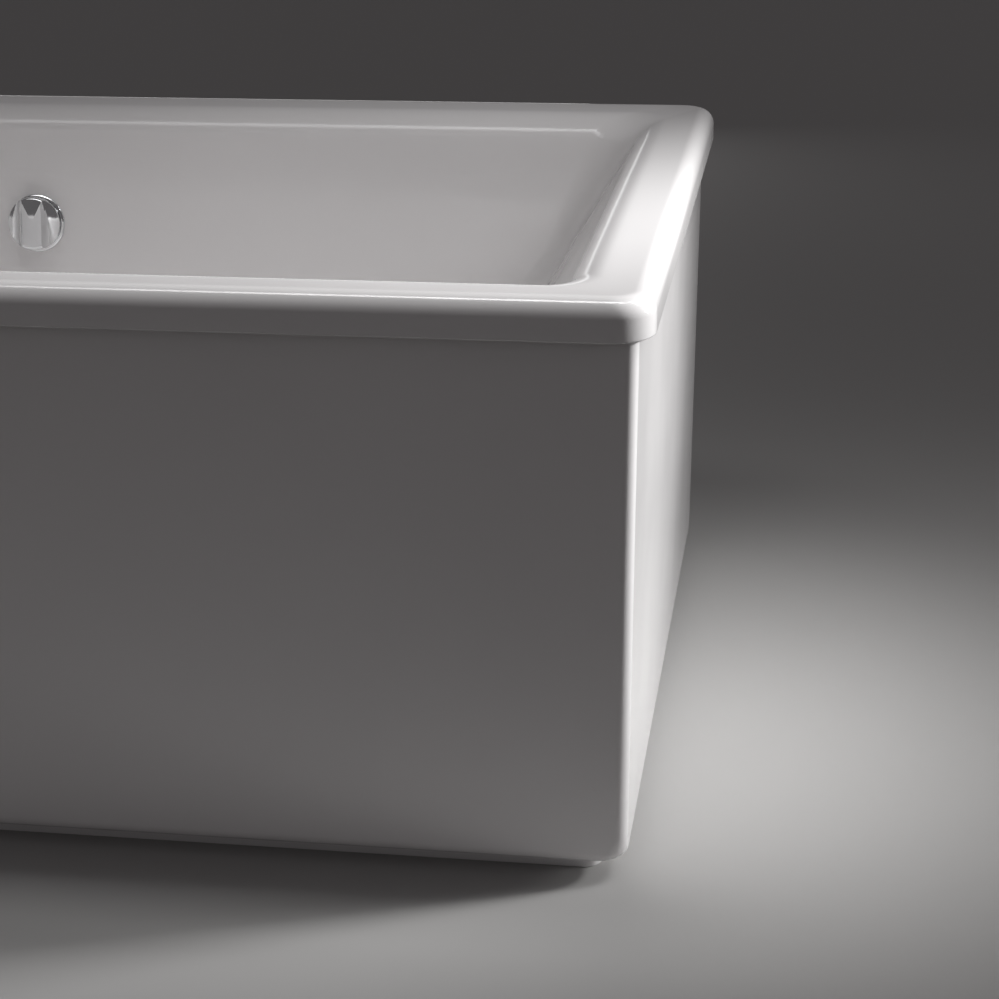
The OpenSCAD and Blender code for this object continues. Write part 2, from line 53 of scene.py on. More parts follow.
# ---- driving dimensions: sizes from the frame, profiles as the model has them ----

shell_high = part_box("bath_shell")[1]
shroud_low, shroud_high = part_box("shroud")
plinth_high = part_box("plinth")[1]
board_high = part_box("base_board_left")[1]

HALF_L = shell_high.x
HALF_W = shell_high.y
RIM_Z = shell_high.z
SHELL_T = 6 * MM
LIP_H = 38 * MM
LIP_FOOT_R = 2 * MM
RIM_CORNER_R = 40 * MM
RIM_EDGE_R = 18 * MM
RIM_SLOPE = math.radians(4)
CREST_R = 40 * MM
DISH_END = 52 * MM
ROLL_R = 45 * MM
ROLL_END = math.radians(66)
BRIM_CORNER_R = 58 * MM
WALL_CORNER_R = 30 * MM
FLOOR_CORNER_R = 60 * MM
WASTE_DISH_R = 60 * MM
END_SLOPE = math.radians(31)
SIDE_SLOPE = math.radians(10)
FILLET_R = 100 * MM
FLOOR_FALL = 6 * MM
UNDER_Z = board_high.z
WASTE_Z = UNDER_Z + SHELL_T
FLOOR_Z = WASTE_Z + FLOOR_FALL
PORT_R = 26 * MM
OVERFLOW_Z = 430 * MM
LEAST_CORNER_R = 6 * MM
ACROSS = Vector((1, 0, 0))

DISH_DROP = (CREST_R * (1 - math.cos(RIM_SLOPE))
             + (DISH_END - RIM_EDGE_R - CREST_R * math.sin(RIM_SLOPE)) * math.tan(RIM_SLOPE))
ROLL_D = DISH_END - ROLL_R * math.sin(RIM_SLOPE)
ROLL_Z = RIM_Z - DISH_DROP - ROLL_R * math.cos(RIM_SLOPE)
RIM_W = ROLL_D + ROLL_R * math.sin(ROLL_END)
BRIM_Z = ROLL_Z + ROLL_R * math.cos(ROLL_END)
UNDER_BRIM_Z = ROLL_Z + (ROLL_R - SHELL_T) * math.cos(ROLL_END)
WALL_CORNER_Z = BRIM_Z - 130 * MM


# ---- mesh helpers ----


def mix(a, b, t):
    """The value this far of the way from a to b."""
    return a + (b - a) * t


def spread(n, first=0.0, last=1.0):
    """n + 1 even steps from first to last."""
    return [mix(first, last, i / n) for i in range(n + 1)]


CORNER_STEPS = 20  # faces in each rounded corner of a ring
SIDE_STEPS = 10  # faces along each of its sides


def ring(half_x, half_y, radius, z):
    """Points of a rounded rectangle, counter-clockwise from above, with points along its straight sides."""
    quarters = ((1, 1), (-1, 1), (-1, -1), (1, -1))
    arcs = []
    for q, (sx, sy) in enumerate(quarters):
        centre = Vector((sx * (half_x - radius), sy * (half_y - radius), z))
        turns = [math.pi / 2 * (q + t) for t in spread(CORNER_STEPS)]
        arcs.append([centre + radius * Vector((math.cos(a), math.sin(a), 0)) for a in turns])
    points = []
    for q, arc in enumerate(arcs):
        points += arc
        end, start = arc[-1], arcs[(q + 1) % 4][0]
        points += [end.lerp(start, i / SIDE_STEPS) for i in range(1, SIDE_STEPS)]
    return points


def link(name, mesh):
    """An object of this name in the scene, made from a mesh."""
    piece = bpy.data.objects.new(name, mesh)
    bpy.context.scene.collection.objects.link(piece)
    return piece


def finish_mesh(name, bm, sharp=40.0):
    """A smooth-shaded piece from a bmesh, with its edges above an angle in degrees kept sharp."""
    bmesh.ops.recalc_face_normals(bm, faces=bm.faces)
    mesh = bpy.data.meshes.new(name)
    bm.to_mesh(mesh)
    bm.free()
    mesh.polygons.foreach_set("use_smooth", [True] * len(mesh.polygons))
    mesh.set_sharp_from_angle(angle=math.radians(sharp))
    return link(name, mesh)


def loft(rings, looped=False, capped=True):
    """A bmesh skin through rings of equal length."""
    bm = bmesh.new()
    rows = [[bm.verts.new(p) for p in points] for points in rings]
    n = len(rows[0])
    pairs = list(zip(rows, rows[1:])) + ([(rows[-1], rows[0])] if looped else [])
    for low, high in pairs:
        for i in range(n):
            j = (i + 1) % n
            bm.faces.new((low[i], low[j], high[j], high[i]))
    if capped and not looped:
        bm.faces.new(reversed(rows[0]))
        bm.faces.new(rows[-1])
    return bm


def cut(piece, cutter):
    """Takes cutter's shape out of piece and throws the cutter away."""
    step = piece.modifiers.new("cut", "BOOLEAN")
    step.operation = "DIFFERENCE"
    step.solver = "EXACT"
    step.object = cutter
    apply_modifiers(piece)
    bpy.data.objects.remove(cutter)


def apply_modifiers(piece):
    """Writes a piece's modifiers into its mesh."""
    bpy.context.view_layer.update()
    graph = bpy.context.evaluated_depsgraph_get()
    mesh = bpy.data.meshes.new_from_object(piece.evaluated_get(graph))
    piece.modifiers.clear()
    piece.data = mesh


def rod(name, radius, start, end, sides=64):
    """A plain cylinder between two points, used to cut holes."""
    axis = end - start
    bm = bmesh.new()
    turn = axis.to_track_quat("Z", "Y").to_matrix().to_4x4()
    place = Matrix.Translation((start + end) / 2) @ turn
    bmesh.ops.create_cone(bm, cap_ends=True, segments=sides, radius1=radius, radius2=radius,
                          depth=axis.length, matrix=place)
    return finish_mesh(name, bm)


def turned(profile, place, axis=Vector((0, 0, 1)), steps=72, looped=False):
    """A bmesh turned from (radius, height) points about an axis through a place."""
    turn = axis.to_track_quat("Z", "Y").to_matrix()
    angles = spread(steps, 0, 2 * math.pi)[:-1]
    rings = [[place + turn @ Vector((r * math.cos(a), r * math.sin(a), h)) for a in angles]
             for r, h in profile]
    return loft(rings, looped=looped)


def eased(points, reach, steps=4):
    """A closed profile with each corner rounded by a curve that starts this far from it."""
    made = []
    for i, corner in enumerate(points):
        corner = Vector(corner)
        before, after = Vector(points[i - 1]), Vector(points[(i + 1) % len(points)])
        start = corner + (before - corner).normalized() * min(reach, (before - corner).length * 0.45)
        end = corner + (after - corner).normalized() * min(reach, (after - corner).length * 0.45)
        made += [tuple(start.lerp(corner, t).lerp(corner.lerp(end, t), t)) for t in spread(steps)]
    return made


JOIN_DISTANCE = 0.002 * MM


def welded(node):
    """A bmesh copy of a CAD node's mesh with its split points joined and its flat faces made whole."""
    bm = bmesh.new()
    bm.from_mesh(frame["nodes"][node].data)
    bmesh.ops.remove_doubles(bm, verts=bm.verts, dist=JOIN_DISTANCE)
    bmesh.ops.dissolve_limit(bm, angle_limit=math.radians(1), verts=bm.verts, edges=bm.edges)
    return bm


def lumps(node):
    """The (lowest, highest) corners of each separate solid in a CAD node."""
    bm = welded(node)
    left, found = set(bm.verts), []
    while left:
        lump, edge = set(), [left.pop()]
        while edge:
            vert = edge.pop()
            lump.add(vert)
            near = [e.other_vert(vert) for e in vert.link_edges]
            edge += [v for v in near if v in left]
            left -= set(near)
        corners = [v.co for v in lump]
        found.append((Vector(map(min, zip(*corners))), Vector(map(max, zip(*corners)))))
    bm.free()
    return sorted(found, key=lambda box: tuple(round(v, 4) for v in box[0]))


def ease_edges(piece, width, segments=2, angle=35):
    """Rounds a piece's sharp edges."""
    bevel = piece.modifiers.new("edges", "BEVEL")
    bevel.width = width
    bevel.segments = segments
    bevel.limit_method = "ANGLE"
    bevel.angle_limit = math.radians(angle)
    bevel.use_clamp_overlap = True
    apply_modifiers(piece)
    piece.data.polygons.foreach_set("use_smooth", [True] * len(piece.data.polygons))
    piece.data.set_sharp_from_angle(angle=math.radians(40))
    return piece


def softened(node, width):
    """The CAD node's own shape with its edges eased."""
    return ease_edges(finish_mesh(node + "_eased", welded(node)), width)


def middle(low, high):
    """The middle between two corners."""
    return (low + high) / 2


def gather(name, parts, sharp=40.0):
    """One piece from several bmeshes."""
    whole = bmesh.new()
    for part in parts:
        bmesh.ops.recalc_face_normals(part, faces=part.faces)
        mesh = bpy.data.meshes.new("part")
        part.to_mesh(mesh)
        part.free()
        whole.from_mesh(mesh)
        bpy.data.meshes.remove(mesh)
    return finish_mesh(name, whole, sharp)


def copies(name, pattern, places):
    """One piece with a copy of the pattern at each place, and the pattern thrown away."""
    whole = bmesh.new()
    for place in places:
        mesh = pattern.data.copy()
        mesh.transform(place)
        whole.from_mesh(mesh)
        bpy.data.meshes.remove(mesh)
    bpy.data.objects.remove(pattern)
    return finish_mesh(name, whole)


def thread(core_r, crest_r, pitch, low, high, steps=24):
    """A bmesh of one thread wound up the Z axis, which fades in and out at its ends."""
    turns = (high - low) / pitch - 1
    count = int(turns * steps)
    sunk_r = core_r - 0.2 * MM
    rings = []
    for i in range(count + 1):
        angle = 2 * math.pi * i / steps
        fade = min(1, i / steps, (count - i) / steps)
        crest = mix(core_r, crest_r, fade)
        z = low + pitch * (0.5 + i / steps)
        way = Vector((math.cos(angle), math.sin(angle), 0))
        flank = ((sunk_r, -0.42), (crest, -0.06), (crest, 0.06), (sunk_r, 0.42))
        rings.append([way * r + Vector((0, 0, z + dz * pitch)) for r, dz in flank])
    return loft(rings)


def moved(bm, offset):
    """The same bmesh, moved by an offset."""
    bmesh.ops.translate(bm, verts=bm.verts, vec=offset)
    return bm


def swept(points, radius, sides=16):
    """A bmesh of a round cord along a smooth curve that passes through every point."""
    smooth = []
    for i in range(len(points) - 1):
        p0, p1, p2, p3 = (points[min(max(j, 0), len(points) - 1)] for j in range(i - 1, i + 3))
        for t in spread(4)[:-1]:
            smooth.append(0.5 * (2 * p1 + (p2 - p0) * t + (2 * p0 - 5 * p1 + 4 * p2 - p3) * t * t
                                 + (3 * p1 - p0 - 3 * p2 + p3) * t ** 3))
    smooth.append(points[-1])
    rings = []
    for i, point in enumerate(smooth):
        way = (smooth[min(i + 1, len(smooth) - 1)] - smooth[max(i - 1, 0)]).normalized()
        side = way.cross(ACROSS).normalized()
        up = side.cross(way)
        angles = [2 * math.pi * k / sides for k in range(sides)]
        rings.append([point + radius * (math.cos(a) * side + math.sin(a) * up) for a in angles])
    return loft(rings)


# ---- materials ----


def shader(name, colour, roughness, metallic=0.0):
    """A node material and its parts: (material, nodes, links, principled)."""
    material = bpy.data.materials.new(name)
    material.use_nodes = True
    nodes, links = material.node_tree.nodes, material.node_tree.links
    principled = nodes["Principled BSDF"]
    principled.inputs["Base Color"].default_value = (*colour, 1)
    principled.inputs["Roughness"].default_value = roughness
    principled.inputs["Metallic"].default_value = metallic
    return material, nodes, links, principled


def noise(nodes, links, scale, detail=4.0, stretch=(1, 1, 1)):
    """A noise texture in the object's own metres."""
    coords = nodes.new("ShaderNodeTexCoord")
    mapping = nodes.new("ShaderNodeMapping")
    mapping.inputs["Scale"].default_value = stretch
    links.new(coords.outputs["Object"], mapping.inputs["Vector"])
    texture = nodes.new("ShaderNodeTexNoise")
    texture.inputs["Scale"].default_value = scale
    texture.inputs["Detail"].default_value = detail
    links.new(mapping.outputs["Vector"], texture.inputs["Vector"])
    return texture


def ramp(nodes, links, value, low, high, start, end):
    """Maps a value between start and end to colours between low and high."""
    node = nodes.new("ShaderNodeValToRGB")
    node.color_ramp.elements[0].position = start
    node.color_ramp.elements[1].position = end
    node.color_ramp.elements[0].color = (*low, 1)
    node.color_ramp.elements[1].color = (*high, 1)
    links.new(value, node.inputs["Fac"])
    return node


def grey(v):
    """A colour with all three parts the same."""
    return (v, v, v)


NOISE_LOW = 0.3
NOISE_HIGH = 0.7


def vary(nodes, links, principled, texture, low, high, rough_low, rough_high):
    """Slight colour and roughness changes that follow one texture."""
    value = texture.outputs["Fac"]
    colours = ramp(nodes, links, value, low, high, NOISE_LOW, NOISE_HIGH)
    links.new(colours.outputs["Color"], principled.inputs["Base Color"])
    roughs = ramp(nodes, links, value, grey(rough_low), grey(rough_high), NOISE_LOW, NOISE_HIGH)
    links.new(roughs.outputs["Color"], principled.inputs["Roughness"])


def bump(nodes, links, principled, texture, strength, distance):
    """Fine relief in the surface that follows a texture."""
    node = nodes.new("ShaderNodeBump")
    node.inputs["Strength"].default_value = strength
    node.inputs["Distance"].default_value = distance
    links.new(texture.outputs["Fac"], node.inputs["Height"])
    links.new(node.outputs["Normal"], principled.inputs["Normal"])


ACRYLIC_IOR = 1.49


def acrylic(name, low, high, rough=0.16):
    """Glossy moulded acrylic with a faint cloud and a very slight ripple."""
    material, nodes, links, principled = shader(name, high, rough)
    cloud = noise(nodes, links, 3.0, 3.0)
    vary(nodes, links, principled, cloud, low, high, rough * 0.85, rough * 1.15)
    ripple = noise(nodes, links, 22.0, 2.0)
    bump(nodes, links, principled, ripple, 0.04, 0.0004)
    principled.inputs["IOR"].default_value = ACRYLIC_IOR
    principled.inputs["Coat Weight"].default_value = 0.35
    principled.inputs["Coat Roughness"].default_value = 0.05
    return material


def shell_backing():
    """Rolled glass fibre and resin behind the acrylic."""
    material, nodes, links, principled = shader("shell_fibreglass", (0.5, 0.47, 0.36), 0.5)
    strands = noise(nodes, links, 60.0, 8.0, (1, 1, 4))
    vary(nodes, links, principled, strands, (0.40, 0.37, 0.27), (0.62, 0.59, 0.48), 0.35, 0.6)
    bump(nodes, links, principled, strands, 0.5, 0.0015)
    return material


def chipboard():
    """Pressed wood chips."""
    material, nodes, links, principled = shader("chipboard", (0.55, 0.40, 0.24), 0.8)
    chips = noise(nodes, links, 130.0, 9.0, (1, 1, 2))
    vary(nodes, links, principled, chips, (0.34, 0.22, 0.11), (0.68, 0.52, 0.34), 0.72, 0.88)
    bump(nodes, links, principled, chips, 0.25, 0.0006)
    return material


def pine(name, stretch):
    """Sawn pine: long dark and light grain, squeezed across the stretch."""
    material, nodes, links, principled = shader(name, (0.68, 0.50, 0.30), 0.65)
    grain = noise(nodes, links, 7.0, 10.0, stretch)
    vary(nodes, links, principled, grain, (0.50, 0.32, 0.16), (0.76, 0.58, 0.37), 0.6, 0.8)
    bump(nodes, links, principled, grain, 0.2, 0.0005)
    return material


def powder_coat():
    """Dark baked paint with an orange-peel grain."""
    material, nodes, links, principled = shader("frame_powder_coat", (0.05, 0.055, 0.06), 0.5)
    cloud = noise(nodes, links, 9.0, 5.0)
    vary(nodes, links, principled, cloud, (0.040, 0.045, 0.050), (0.058, 0.063, 0.070), 0.42, 0.56)
    bump(nodes, links, principled, noise(nodes, links, 900.0, 2.0), 0.25, 0.0002)
    return material


def plated_steel(name, low, high, rough_low, rough_high):
    """Zinc or chrome plating, duller in places."""
    material, nodes, links, principled = shader(name, high, rough_low, 1.0)
    cloud = noise(nodes, links, 38.0, 6.0)
    vary(nodes, links, principled, cloud, low, high, rough_low, rough_high)
    bump(nodes, links, principled, noise(nodes, links, 420.0, 3.0), 0.04, 0.0001)
    return material


def rubber(name, low, high):
    """Matte black rubber."""
    material, nodes, links, principled = shader(name, low, 0.75)
    cloud = noise(nodes, links, 55.0, 6.0)
    vary(nodes, links, principled, cloud, low, high, 0.68, 0.85)
    bump(nodes, links, principled, noise(nodes, links, 700.0, 2.0), 0.2, 0.0002)
    return material


def moulded(name, low, high, rough):
    """Injection-moulded plastic."""
    material, nodes, links, principled = shader(name, high, rough)
    cloud = noise(nodes, links, 18.0, 5.0)
    vary(nodes, links, principled, cloud, low, high, rough * 0.9, rough * 1.15)
    bump(nodes, links, principled, noise(nodes, links, 300.0, 2.0), 0.08, 0.0002)
    return material


shell_white = acrylic("shell_white_acrylic", (0.800, 0.785, 0.785), (0.825, 0.810, 0.810))
shroud_white = acrylic("shroud_white_acrylic", (0.800, 0.785, 0.785), (0.825, 0.810, 0.810), rough=0.2)
plinth_white = acrylic("plinth_white_plastic", (0.80, 0.79, 0.79), (0.83, 0.82, 0.82), rough=0.25)
fibreglass = shell_backing()
FINISH = {
    "board_wood": chipboard(),
    "batten_wood": pine("pine_along_x", (1.2, 14, 14)),
    "frame_paint": powder_coat(),
    "zinc_steel": plated_steel("zinc_steel", (0.60, 0.61, 0.62), (0.70, 0.71, 0.72), 0.30, 0.44),
    "chrome": plated_steel("chrome", (0.80, 0.81, 0.82), (0.84, 0.85, 0.86), 0.05, 0.09),
    "rubber": rubber("gasket_rubber", (0.022, 0.022, 0.022), (0.034, 0.034, 0.034)),
    "foot_rubber": rubber("foot_rubber", (0.030, 0.030, 0.031), (0.050, 0.050, 0.051)),
    "pipe_plastic": moulded("pipe_plastic", (0.74, 0.74, 0.72), (0.79, 0.79, 0.77), 0.38),
    "black_plastic": moulded("black_plastic", (0.022, 0.022, 0.023), (0.034, 0.034, 0.035), 0.45),
    "white_acrylic": shell_white,
    "shroud_acrylic": shroud_white,
    "plinth_plastic": plinth_white,
}
pine_along_y = pine("pine_along_y", (14, 1.2, 14))


def dress(piece, *materials):
    """Gives a piece these materials and no others."""
    piece.data.materials.clear()
    for material in materials:
        piece.data.materials.append(material)


RECORD = frame["record"]
BODY_OF = {node: body for body, nodes in RECORD["behaviour"]["bodies"].items() for node in nodes}
SLOT_OF = {part["node"]: part["material_slot"] for part in RECORD["subparts"]}


def place(piece, node, material=None):
    """Dresses a piece and lets it stand for a CAD node, on that node's body."""
    if not piece.data.materials:
        dress(piece, material or FINISH[SLOT_OF[node]])
    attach(piece, BODY_OF[node])
    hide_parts(node)


# ---- bath shell ----


def rim_plan_r(d):
    """Plan radius of the rim at an inset from its outer edge."""
    if d < RIM_EDGE_R:
        return RIM_CORNER_R - d
    return mix(RIM_CORNER_R - RIM_EDGE_R, BRIM_CORNER_R, (d - RIM_EDGE_R) / (RIM_W - RIM_EDGE_R))


def basin_plan_r(z):
    """Plan radius of the basin's corners at a height."""
    if z > WALL_CORNER_Z:
        return mix(WALL_CORNER_R, BRIM_CORNER_R, (z - WALL_CORNER_Z) / (BRIM_Z - WALL_CORNER_Z))
    return mix(FLOOR_CORNER_R, WALL_CORNER_R, (z - FLOOR_Z) / (WALL_CORNER_Z - FLOOR_Z))


def wall_half(z, top_half, slope, floor_z):
    """Half extent of a basin wall at height z: a sloping line with a fillet into the floor."""
    touch_z = floor_z + FILLET_R * (1 - math.sin(slope))
    if z >= touch_z:
        return top_half - (BRIM_Z - z) * math.tan(slope)
    touch = top_half - (BRIM_Z - touch_z) * math.tan(slope)
    turn = math.acos(1 - (z - floor_z) / FILLET_R)
    return touch + FILLET_R * (math.sin(turn) - math.cos(slope))


def basin_half(z, floor_z, out):
    """Half length and half width of the basin at a height, grown outwards through its walls."""
    return (wall_half(z, HALF_L - RIM_W + out / math.cos(END_SLOPE), END_SLOPE, floor_z),
            wall_half(z, HALF_W - RIM_W + out / math.cos(SIDE_SLOPE), SIDE_SLOPE, floor_z))


def basin_ring(z, floor_z, out):
    """A ring round the basin's wall."""
    return ring(*basin_half(z, floor_z, out), basin_plan_r(max(z, FLOOR_Z)) + out, z)


def rim_ring(d, z):
    """A ring round the rim at an inset from its outer edge."""
    return ring(HALF_L - d, HALF_W - d, max(LEAST_CORNER_R, rim_plan_r(d)), z)


def crest_point(radius, slope):
    """A point over the rim's crest at a radius, where the rim has this slope."""
    return RIM_EDGE_R + radius * math.sin(slope), RIM_Z - CREST_R + radius * math.cos(slope)


def rim_top():
    """The rim's face as (inset, height), from the lip's foot over the crest to the brim."""
    foot = [(LIP_FOOT_R * (1 - math.sin(a)), RIM_Z - LIP_H + LIP_FOOT_R * (1 - math.cos(a)))
            for a in spread(5, 0, math.pi / 2)]
    edge = [(RIM_EDGE_R * (1 - math.cos(a)), RIM_Z - RIM_EDGE_R * (1 - math.sin(a)))
            for a in spread(16, 0, math.pi / 2)]
    crest = [crest_point(CREST_R, a) for a in spread(6, 0, RIM_SLOPE)[1:]]
    roll = [(ROLL_D + ROLL_R * math.sin(a), ROLL_Z + ROLL_R * math.cos(a))
            for a in spread(16, RIM_SLOPE, ROLL_END)]
    (d0, z0), (d1, z1) = crest[-1], roll[0]
    slope = [(mix(d0, d1, t), mix(z0, z1, t)) for t in spread(6)[1:-1]]
    return foot + edge + crest + slope + roll


def rim_under():
    """The rim's hidden face as (inset, height), from the brim out to the lip's foot."""
    inner = ROLL_R - SHELL_T
    roll = [(ROLL_D + inner * math.sin(a), ROLL_Z + inner * math.cos(a))
            for a in spread(8, ROLL_END, RIM_SLOPE)[1:]]
    crest = [crest_point(CREST_R - SHELL_T, a) for a in spread(3, RIM_SLOPE, 0)[:-1]]
    bend = RIM_EDGE_R - SHELL_T
    edge = [(RIM_EDGE_R - bend * math.sin(a), RIM_Z - RIM_EDGE_R + bend * math.cos(a))
            for a in spread(8, 0, math.pi / 2)]
    return roll + crest + edge + [(SHELL_T, RIM_Z - LIP_H + 1 * MM), (SHELL_T - 1 * MM, RIM_Z - LIP_H)]


FILLET_TURN = math.radians(84)


def basin_heights(floor_z, top_z, wall_steps):
    """Heights of the basin's rings from the floor up: close together in the fillet."""
    low = [floor_z + FILLET_R * (1 - math.cos(a)) for a in spread(18, 0, FILLET_TURN)]
    return low + [mix(low[-1], top_z, t) for t in spread(wall_steps)[1:]]


def floor_rings(edge_z, centre_z, out, steps):
    """Rings from the foot of the fillet in to the waste, falling gently."""
    half_x, half_y = basin_half(edge_z, edge_z, out)
    nearly_round = WASTE_DISH_R * 0.999
    rings = []
    for t in spread(steps)[1:]:
        radius = mix(FLOOR_CORNER_R + out, nearly_round, t)
        rings.append(ring(mix(half_x, WASTE_DISH_R, t), mix(half_y, WASTE_DISH_R, t), radius,
                          mix(edge_z, centre_z, t)))
    return rings


def overflow_frame():
    """Where the overflow sits on the back wall: its centre and the wall's inward normal."""
    y = HALF_W - RIM_W - (BRIM_Z - OVERFLOW_Z) * math.tan(SIDE_SLOPE)
    return Vector((0, y, OVERFLOW_Z)), Vector((0, -math.cos(SIDE_SLOPE), math.sin(SIDE_SLOPE)))


CUTTER_REACH = 30 * MM


def make_shell():
    """The bath's moulding: acrylic in view, glass fibre behind, with ports for waste and overflow."""
    rings = floor_rings(UNDER_Z, UNDER_Z, SHELL_T, 4)[::-1]
    rings += [basin_ring(z, UNDER_Z, SHELL_T) for z in basin_heights(UNDER_Z, UNDER_BRIM_Z, 8)]
    hidden = len(rings) + len(rim_under()) - 2
    rings += [rim_ring(d, z) for d, z in rim_under() + rim_top()]
    rings += [basin_ring(z, FLOOR_Z, 0) for z in basin_heights(FLOOR_Z, BRIM_Z, 14)[-2::-1]]
    rings += floor_rings(FLOOR_Z, WASTE_Z, 0, 10)
    shell = finish_mesh("bath_shell_skin", loft(rings))
    dress(shell, shell_white, fibreglass)
    for face in list(shell.data.polygons)[:hidden * len(rings[0])]:
        face.material_index = 1
    reach = Vector((0, 0, CUTTER_REACH))
    waste = Vector((0, 0, WASTE_Z))
    cut(shell, rod("waste_cutter", PORT_R, waste + reach, waste - reach))
    centre, normal = overflow_frame()
    reach = CUTTER_REACH * normal
    cut(shell, rod("overflow_cutter", PORT_R, centre + reach, centre - reach))
    shell.data.set_sharp_from_angle(angle=math.radians(30))
    return shell


# ---- shroud and plinth ----

SHROUD_T = 4 * MM
DRAFT = math.radians(0.85)
SHROUD_CORNER_R = 13 * MM
BOTTOM_CORNER_R = SHROUD_CORNER_R + 20 * MM
BOTTOM_BLEND_H = 36 * MM
SHROUD_ROLL_R = 14 * MM
FLANGE_W = 60 * MM


def shroud_ring(z, inset):
    """A ring of the shroud, whose corners grow rounder into the rolled bottom."""
    low = max(0, 1 - (z - shroud_low.z) / BOTTOM_BLEND_H)
    corner = mix(SHROUD_CORNER_R, BOTTOM_CORNER_R, low * low)
    draw = (shroud_high.z - z) * math.tan(DRAFT) + inset
    return ring(shroud_high.x - draw, shroud_high.y - draw, max(LEAST_CORNER_R, corner - inset), z)


def shroud_face(inset):
    """Rings from the flange's edge, round the roll and up a face that lies this far in."""
    foot = shroud_low.z + inset
    radius = SHROUD_ROLL_R - inset
    rings = [shroud_ring(foot, d) for d in spread(3, FLANGE_W, SHROUD_ROLL_R)[:-1]]
    rings += [shroud_ring(foot + radius * (1 - math.cos(a)), inset + radius * (1 - math.sin(a)))
              for a in spread(12, 0, math.pi / 2)]
    roll_top = shroud_low.z + SHROUD_ROLL_R
    blend_top = shroud_low.z + BOTTOM_BLEND_H
    rings += [shroud_ring(z, inset) for z in spread(8, roll_top, blend_top)[1:]]
    return rings + [shroud_ring(z, inset) for z in spread(12, blend_top, shroud_high.z)[1:]]


def make_shroud():
    """The skirt: its outer face, then its inner face back down to the flange."""
    rings = shroud_face(0) + shroud_face(SHROUD_T)[::-1]
    return finish_mesh("shroud_skin", loft(rings, looped=True))


PLINTH_CORNER_R = 18 * MM
PLINTH_T = 16 * MM
PLINTH_ROUND = 1.5 * MM
PLINTH_INNER_R = 3 * MM


def make_plinth():
    """A hollow ring on the floor, with eased outer edges."""
    def level(z, inset, corner):
        return ring(plinth_high.x - inset, plinth_high.y - inset, corner, z)

    arcs = [(PLINTH_ROUND * (1 - math.cos(a)), PLINTH_ROUND * (1 - math.sin(a)))
            for a in spread(4, 0, math.pi / 2)]
    rings = [level(rise, inset, PLINTH_CORNER_R) for rise, inset in arcs]
    rings += [level(plinth_high.z - drop, inset, PLINTH_CORNER_R) for inset, drop in arcs]
    rings += [level(z, PLINTH_T, PLINTH_INNER_R) for z in (plinth_high.z, 0)]
    return finish_mesh("plinth_ring", loft(rings, looped=True), sharp=60)


# ---- boards, frame and fixings ----


SCREW_PITCH = 0.7 * MM
SCREW_POINT = 3 * MM
RECESS_W = 0.9 * MM
RECESS_DEPTH = 1.6 * MM


def screw_pattern(head_r, head_t, shank_r, length):
    """A pan-head screw with a cross recess, its crown at the origin, pointing up Z."""
    root_r = shank_r * 0.74
    profile = [(head_r * 0.2, 0), (head_r * 0.7, head_t * 0.1), (head_r * 0.93, head_t * 0.35),
               (head_r, head_t * 0.7), (head_r, head_t), (shank_r, head_t)]
    ridges = int((length - head_t - SCREW_POINT - 1 * MM) / SCREW_PITCH)
    for i in range(ridges):
        profile += [(root_r, head_t + SCREW_PITCH * (i + 0.5)), (shank_r, head_t + SCREW_PITCH * (i + 1))]
    profile += [(root_r, length - SCREW_POINT), (0.3 * MM, length)]
    screw = finish_mesh("screw_pattern", turned(profile, Vector(), steps=20))
    recess_l = head_r * 1.1
    for size in ((recess_l, RECESS_W, RECESS_DEPTH), (RECESS_W, recess_l, RECESS_DEPTH)):
        bm = bmesh.new()
        bmesh.ops.create_cube(bm, size=1, matrix=Matrix.Diagonal((*size, 1)))
        cut(screw, finish_mesh("recess_cutter", bm))
    return screw


def make_screws(node, head_r, head_t, shank_r, heads_up):
    """Puts detailed screws where the CAD node's are."""
    spots = lumps(node)
    length = spots[0][1].z - spots[0][0].z
    turn = Matrix.Rotation(math.pi if heads_up else 0, 4, "X")
    places = [Matrix.Translation((*middle(low, high).xy, high.z if heads_up else low.z)) @ turn
              for low, high in spots]
    place(copies(node + "_made", screw_pattern(head_r, head_t, shank_r, length), places), node)


# The nodes that keep their CAD shape, with the width in mm by which their edges are eased.
EASED_EDGES = {
    "base_board_left": 0.8, "base_board_right": 0.8, "bonding_plates": 0.3, "batten_brackets": 0.6,
    "rim_batten_front": 1.5, "rim_batten_back": 1.5, "rim_batten_left": 1.5, "rim_batten_right": 1.5,
    "long_rail_front": 0.8, "long_rail_back": 0.8, "cross_rail_left_end": 0.8,
    "cross_rail_left_middle": 0.8, "cross_rail_right_middle": 0.8, "cross_rail_right_end": 0.8,
    "upright_front_left": 0.8, "upright_front_right": 0.8, "upright_back_left": 0.8,
    "upright_back_right": 0.8, "foot_bushes": 0.6, "lock_nuts": 0.9,
    "waste_top_gasket": 0.5, "waste_bottom_gasket": 0.6, "waste_body": 0.8, "tailpiece": 0.4,
    "plug_seal": 0.3, "lift_lever": 0.6, "lever_pin": 0.5, "overflow_gasket": 0.6,
    "overflow_elbow": 0.8, "overflow_pipe": 0.4, "cable_drum": 0.5, "cable_clips": 0.5,
}

for node, width in EASED_EDGES.items():
    along_y = node in ("rim_batten_left", "rim_batten_right")
    place(softened(node, width * MM), node, pine_along_y if along_y else None)
make_screws("board_screws", 5 * MM, 3 * MM, 2.5 * MM, False)
make_screws("plinth_screws", 4.5 * MM, 2.5 * MM, 2.2 * MM, True)


# ---- levelling feet ----


STUD_PITCH = 1.75 * MM
STUD_THREAD_DEPTH = 0.9 * MM
PAD_R = 26


def radius_of(low, high):
    """Radius of an upright round node from the corners of its box."""
    return (high.x - low.x) / 2


